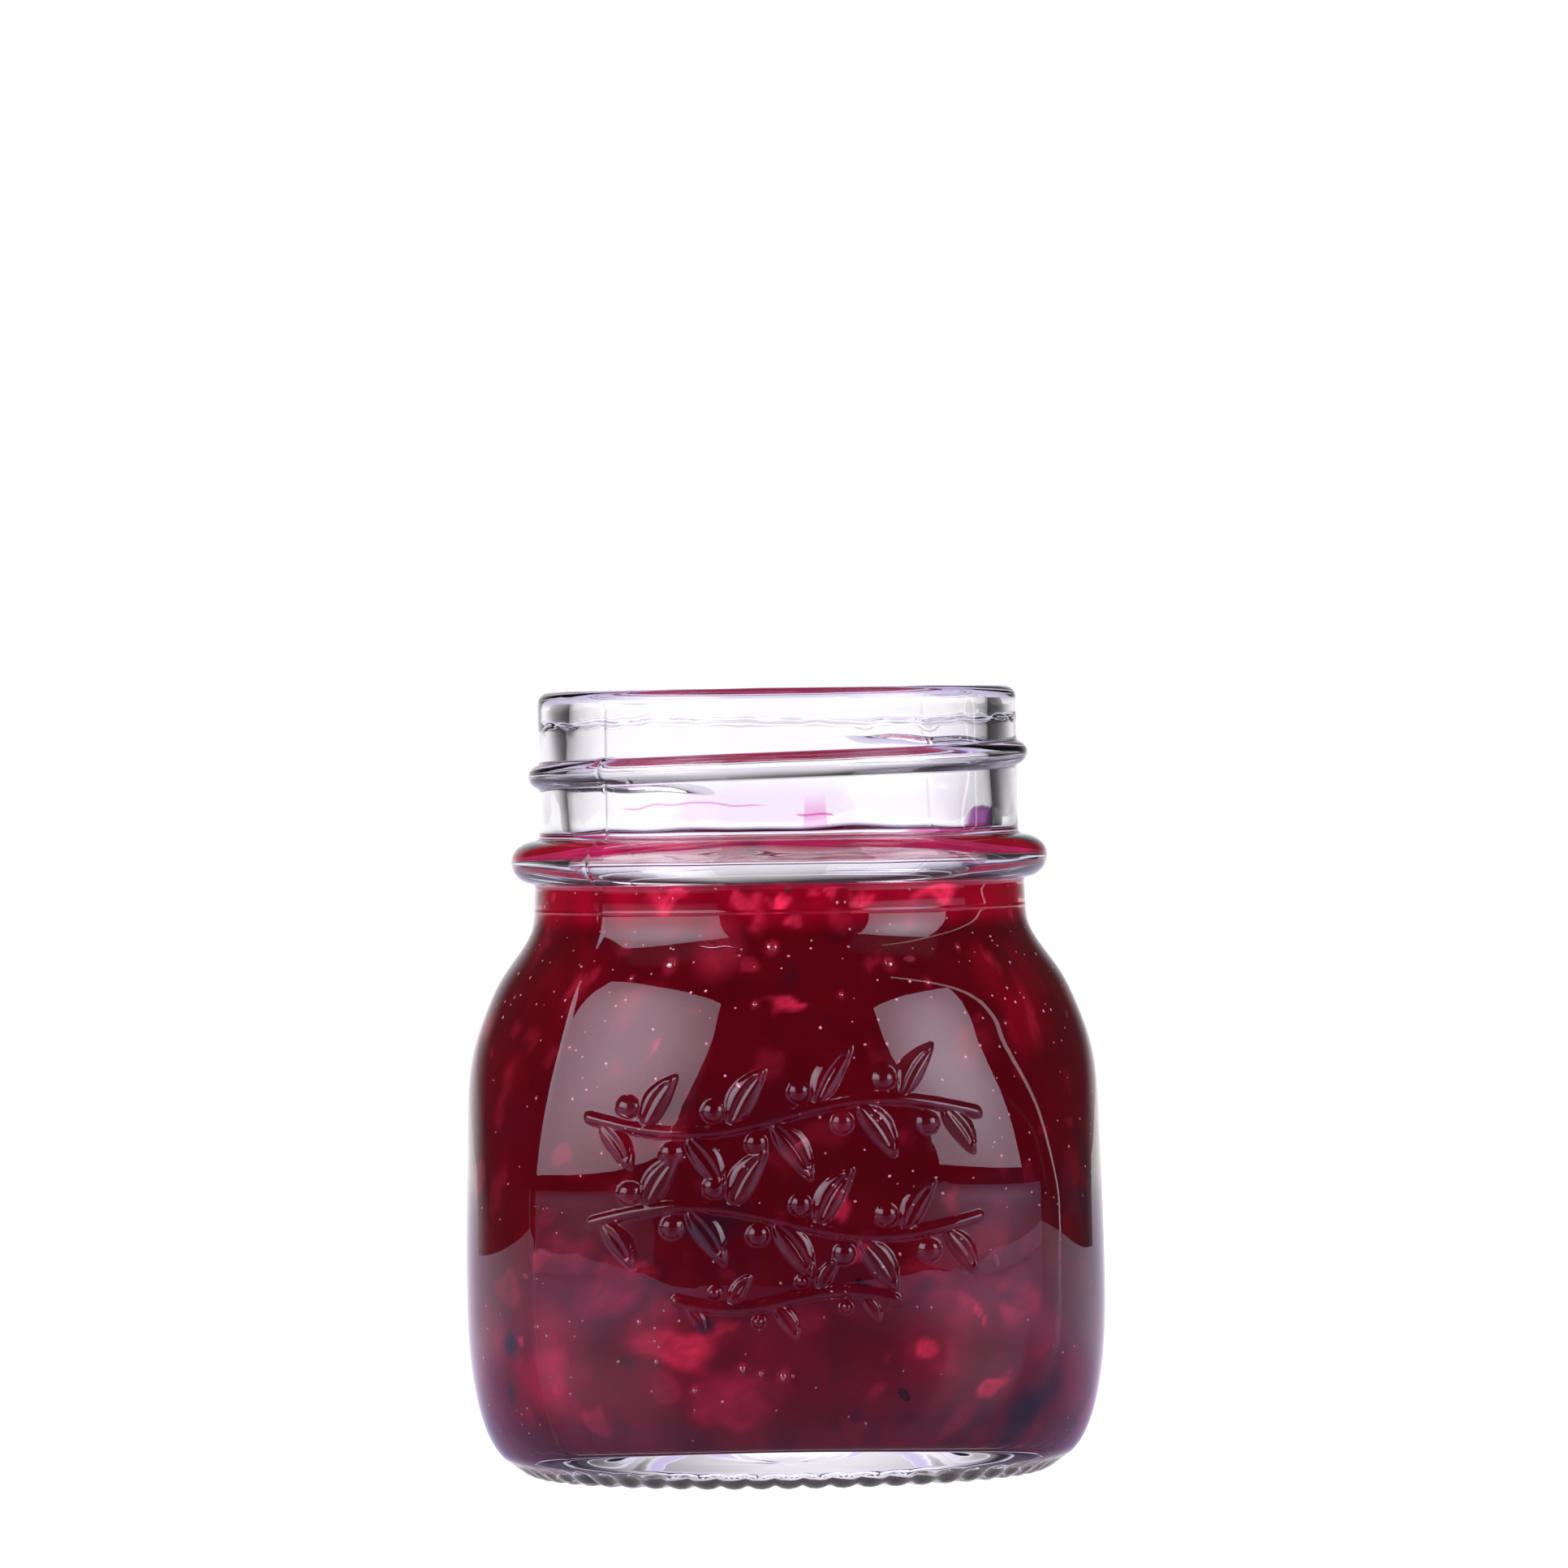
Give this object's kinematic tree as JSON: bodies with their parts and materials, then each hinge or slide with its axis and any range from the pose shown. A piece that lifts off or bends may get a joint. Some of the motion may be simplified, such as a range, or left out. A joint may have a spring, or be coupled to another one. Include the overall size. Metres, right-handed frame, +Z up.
{
  "type": "screw-top glass jar of berry jam",
  "caption": "Open screw-top preserving jar of clear glass with a rounded square body, filled with dark red mixed berry jam.",
  "frame": {"origin": "on the ground, under the middle of the jar", "axes": "+Z up along the jar's axis; the flat front faces -Y, and +X is to the right of someone who looks at it"},
  "size_m": [0.0664, 0.0664, 0.0815],
  "materials": {
    "clear_glass": "clear, fire-polished glass",
    "berry_jam": null
  },
  "bodies": {
    "root": {"jar_glass": "clear_glass", "jam": "berry_jam"}
  },
  "joints": []
}
